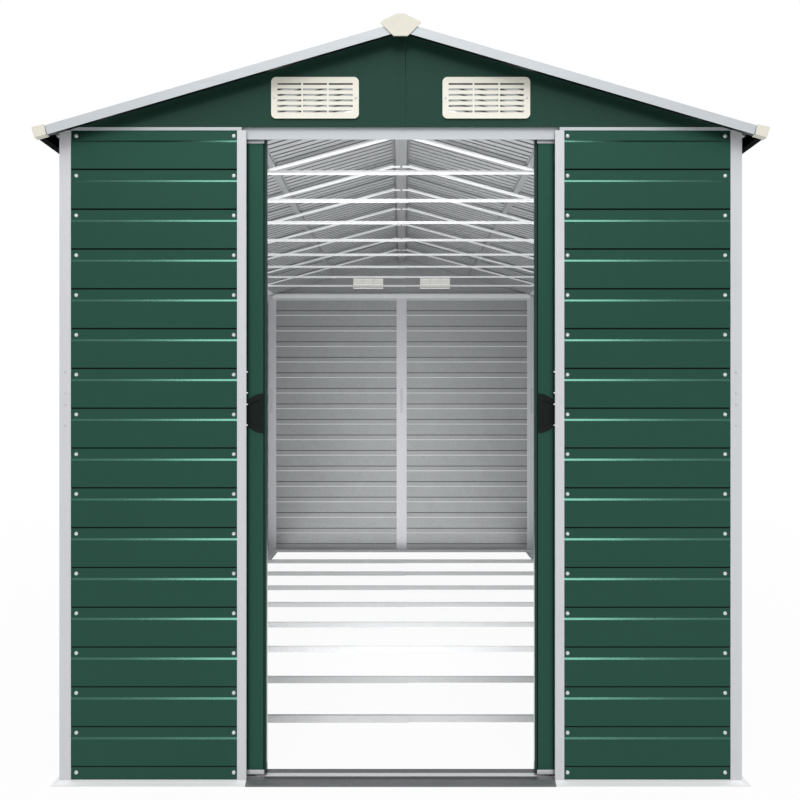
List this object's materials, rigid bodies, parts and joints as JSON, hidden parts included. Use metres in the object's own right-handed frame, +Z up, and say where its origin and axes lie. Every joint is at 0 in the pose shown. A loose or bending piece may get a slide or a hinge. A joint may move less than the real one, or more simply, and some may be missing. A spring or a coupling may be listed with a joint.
{
  "type": "metal storage shed",
  "caption": "Gabled metal garden shed with green roll-formed cladding, pale posts and fascias, ribbed roof, louvred gable vents and two sliding doors",
  "frame": {"origin": "on the ground under the middle of the shed", "axes": "X across the front from left to right, Y along the ridge from the front to the back, Z up"},
  "size_m": [1.901, 3.852, 2.0032],
  "materials": {
    "green_sheet": "satin",
    "pale_steel": "satin",
    "zinc_steel": "matte",
    "cream_plastic": "satin",
    "black_plastic": "satin"
  },
  "bodies": {
    "shed": {"base_rail_front": "pale_steel", "base_rail_back": "pale_steel", "base_rail_left": "pale_steel", "base_rail_right": "pale_steel", "floor_bars": "zinc_steel", "door_sill": "zinc_steel", "door_guide": "zinc_steel", "corner_posts_left": "pale_steel", "corner_posts_right": "pale_steel", "door_jamb_left": "pale_steel", "door_jamb_right": "pale_steel", "wall_posts": "pale_steel", "post_splices": "zinc_steel", "front_panel_left": "green_sheet", "front_panel_right": "green_sheet", "side_panels_left": "green_sheet", "side_panels_right": "green_sheet", "back_panels": "green_sheet", "door_track": "pale_steel", "back_rail": "zinc_steel", "eave_rails": "zinc_steel", "gable_front_left": "green_sheet", "gable_front_right": "green_sheet", "gable_back_left": "green_sheet", "gable_back_right": "green_sheet", "vents": "cream_plastic", "truss_ties": "zinc_steel", "rafters": "zinc_steel", "ridge_beam": "zinc_steel", "purlins": "zinc_steel", "roof_sheets_left": "green_sheet", "roof_sheets_right": "green_sheet", "ridge_capping": "green_sheet", "ridge_end_caps": "cream_plastic", "fascias": "pale_steel", "eave_trims": "green_sheet", "eave_end_caps": "cream_plastic"},
    "left_door": {"left_door_leaf": "green_sheet", "left_door_rails": "pale_steel", "left_door_pull": "black_plastic", "left_door_runners": "black_plastic"},
    "right_door": {"right_door_leaf": "green_sheet", "right_door_rails": "pale_steel", "right_door_pull": "black_plastic", "right_door_runners": "black_plastic"}
  },
  "joints": [
    {"name": "left_door_slide", "type": "slide", "parent": "shed", "child": "left_door", "axis": [1, 0, 0], "range_m": [0, 0.3535]},
    {"name": "right_door_slide", "type": "slide", "parent": "shed", "child": "right_door", "axis": [-1, 0, 0], "range_m": [0, 0.3535]}
  ]
}
